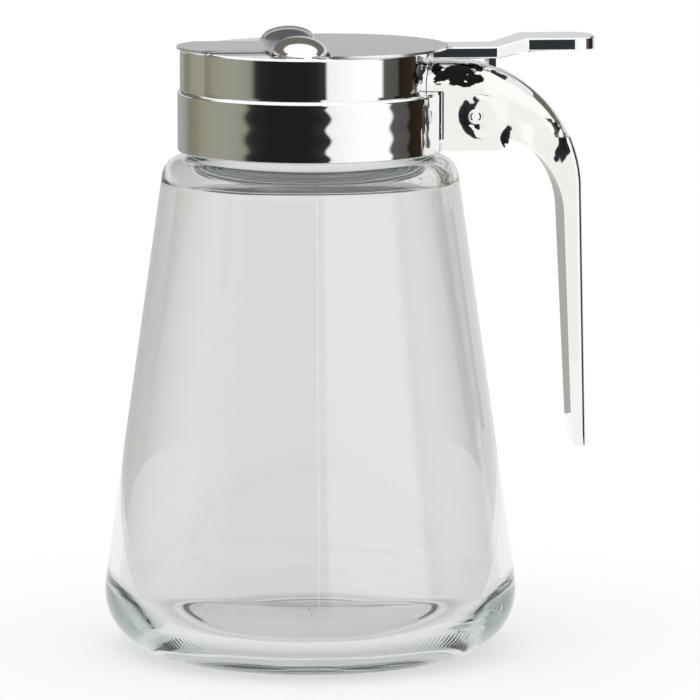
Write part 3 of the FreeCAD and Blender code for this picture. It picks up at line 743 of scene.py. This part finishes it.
sent_back = add(tree, "ShaderNodeMath", {"operation": "MINIMUM"},
                in0=lights.outputs["Glossy Depth"], in1=1.0).outputs[0]
front_share = add(tree, "ShaderNodeMath", {"operation": "MULTIPLY"}, in0=frontward,
                  in1=sent_back).outputs[0]
beyond = add(tree, "ShaderNodeMix", {"data_type": "RGBA"}, in0=front_share, in6=beyond,
             in7=sky).outputs[2]
print("white sheet behind the glass: %.0f degrees wide" % (2 * SHEET_HALF))

# %% The right sky for each ray
SKY_LIGHT = 0.95              # plain sky that lights matt surfaces
MIRROR_GAIN = 1.08            # makes up for what chrome swallows

mirrored = add(tree, "ShaderNodeBackground", Color=sky, Strength=MIRROR_GAIN)
plain = add(tree, "ShaderNodeBackground", Color=linear("#ffffff"), Strength=1.0)
through = add(tree, "ShaderNodeBackground", Color=beyond, Strength=1.0)
soft_light = add(tree, "ShaderNodeBackground", Color=linear("#ffffff"), Strength=SKY_LIGHT)
shown = add(tree, "ShaderNodeMixShader", in0=lights.outputs["Is Glossy Ray"],
            in1=soft_light.outputs[0], in2=mirrored.outputs[0])
been_through = add(tree, "ShaderNodeMath", {"operation": "MINIMUM"},
                   in0=lights.outputs["Transmission Depth"], in1=1.0).outputs[0]
glassy = add(tree, "ShaderNodeMath", {"operation": "MAXIMUM"},
             in0=lights.outputs["Is Transmission Ray"], in1=been_through).outputs[0]
shown = add(tree, "ShaderNodeMixShader", in0=glassy, in1=shown.outputs[0], in2=through.outputs[0])
shown = add(tree, "ShaderNodeMixShader", in0=lights.outputs["Is Camera Ray"],
            in1=shown.outputs[0], in2=plain.outputs[0])
add(tree, "ShaderNodeOutputWorld", Surface=shown.outputs[0])
print("sky light for matt surfaces:", SKY_LIGHT)

# %% [markdown]
# ## Floor and lamp
#
# The floor is a round white sheet. Close to the jar it is part matt, so it keeps a soft shadow.
# With distance it fades into the white of the background, so that no horizon shows. A bent sheet
# would do that too, but it would stand in the way of the views from behind. One wide lamp overhead
# gives the shadow. Mirrors don't see it, since the sky already holds all that they show.

# %% Floor
FLOOR_RADIUS = 0.30
FADE_FROM, FADE_TO = 0.05, 0.17           # distances from the axis, in metres
GLOW_NEAR = 0.55                          # share of plain white close to the jar
UNDER_JAR, BESIDE_JAR = 0.026, 0.042      # glass shows the shade under the jar, white beside it
UNDER_GLOW, BESIDE_GLOW = 0.10, 0.95      # share of plain white that it shows there

sheet = bmesh.new()
bmesh.ops.create_circle(sheet, cap_ends=True, radius=FLOOR_RADIUS, segments=96)
paper, tree, shader = start_material("white_paper", Base_Color=linear("#fbfbfb"), Roughness=0.9,
                                     Specular_IOR_Level=0.0)
place = add(tree, "ShaderNodeTexCoord").outputs["Object"]
away = add(tree, "ShaderNodeVectorMath", {"operation": "LENGTH"}, in0=place).outputs["Value"]
fade = add(tree, "ShaderNodeMapRange", SMOOTH, Value=away,
           From_Min=FADE_FROM, From_Max=FADE_TO, To_Min=GLOW_NEAR, To_Max=1.0).outputs[0]
lights = add(tree, "ShaderNodeLightPath")
indirect = add(tree, "ShaderNodeMath", {"operation": "MAXIMUM"},
               in0=lights.outputs["Is Glossy Ray"],
               in1=lights.outputs["Is Transmission Ray"]).outputs[0]
clear = add(tree, "ShaderNodeMapRange", SMOOTH, Value=away,
            From_Min=UNDER_JAR, From_Max=BESIDE_JAR,
            To_Min=UNDER_GLOW, To_Max=BESIDE_GLOW).outputs[0]
whiter = add(tree, "ShaderNodeMath", {"operation": "MULTIPLY"}, in0=indirect, in1=clear).outputs[0]
glow_share = add(tree, "ShaderNodeMath", {"operation": "MAXIMUM"}, in0=fade, in1=whiter).outputs[0]
glow = add(tree, "ShaderNodeEmission", Color=linear("#ffffff"), Strength=1.0)
blend = add(tree, "ShaderNodeMixShader", in0=glow_share, in1=shader.outputs[0], in2=glow.outputs[0])
output = next(node for node in tree.nodes if node.type == "OUTPUT_MATERIAL")
tree.links.new(blend.outputs[0], output.inputs["Surface"])
floor = make_piece("studio_floor", sheet, paper, smooth=False)
floor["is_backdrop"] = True
print("floor %.2f m across" % (2 * FLOOR_RADIUS))

# %% Lamp
LAMP_WIDTH = 0.9
LAMP_WATTS = 1.6
LAMP_PLACE = Vector((-0.25, -0.35, 1.1))
LAMP_AIM = Vector((0, 0, 0.06))

lamp_data = bpy.data.lights.new("overhead_softbox", "AREA")
lamp_data.shape = "DISK"
lamp_data.size = LAMP_WIDTH
lamp_data.energy = LAMP_WATTS
lamp = bpy.data.objects.new("overhead_softbox", lamp_data)
lamp.location = LAMP_PLACE
lamp.rotation_euler = (LAMP_AIM - lamp.location).to_track_quat("-Z", "Y").to_euler()
lamp.visible_glossy = False
bpy.context.scene.collection.objects.link(lamp)
print("lamp %.1f W at %.2f m" % (lamp_data.energy, lamp.location.length))

# %% [markdown]
# ## Camera
#
# A long lens a good way off keeps the jar's walls straight. It stands a little left of the front
# and looks slightly down. The jar's axis lies left of the middle of the frame, to leave room for
# the handle, and a small shift of the lens does that without turning the camera.

# %% Camera
BEARING = math.radians(-5.3)
DOWN = math.radians(8.4)
DISTANCE = 1.4                # in metres
AIM = Vector((0, 0, 66.2 * MM))
FOCAL_PER_WIDTH = 9.086       # focal length as a multiple of the frame's width
AXIS_FROM_LEFT = 0.4433       # where the jar's axis stands across the frame

camera_data = bpy.data.cameras.new("long_lens")
camera_data.sensor_width = 36.0
camera_data.lens = FOCAL_PER_WIDTH * camera_data.sensor_width
camera_data.shift_x = 0.5 - AXIS_FROM_LEFT
camera_data.clip_end = 10.0
camera = bpy.data.objects.new("long_lens", camera_data)
back = Vector((math.sin(BEARING) * math.cos(DOWN), -math.cos(BEARING) * math.cos(DOWN),
               math.sin(DOWN)))
camera.location = AIM + back * DISTANCE
camera.rotation_euler = (-back).to_track_quat("-Z", "Y").to_euler()
bpy.context.scene.collection.objects.link(camera)
bpy.context.scene.camera = camera
bpy.context.scene.view_settings.view_transform = "Standard"
print("lens %.0f mm at %.2f m" % (camera_data.lens, DISTANCE))

# %% [markdown]
# ## How far light is followed
#
# Inside the thick heel and shoulder of a jar, light is thrown back many times before it gets out.
# Cycles stops after four reflections as a rule, and everything beyond that turns black, which is
# why rendered glass often looks smoky at its corners. Following each path further clears it.

# %% Light paths long enough for thick glass
paths = bpy.context.scene.cycles
paths.max_bounces = 24
paths.glossy_bounces = 16
paths.transmission_bounces = 16
print("reflections followed:", paths.glossy_bounces)

# %% [markdown]
# ## Size
#
# The dressed model must fill the same box as the frame. Its box is printed as a plain list of
# sizes in millimetres.

# %% Size of the dressed model
low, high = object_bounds()
print("scene size in mm:", [round((b - a) / MM, 1) for a, b in zip(low, high)])
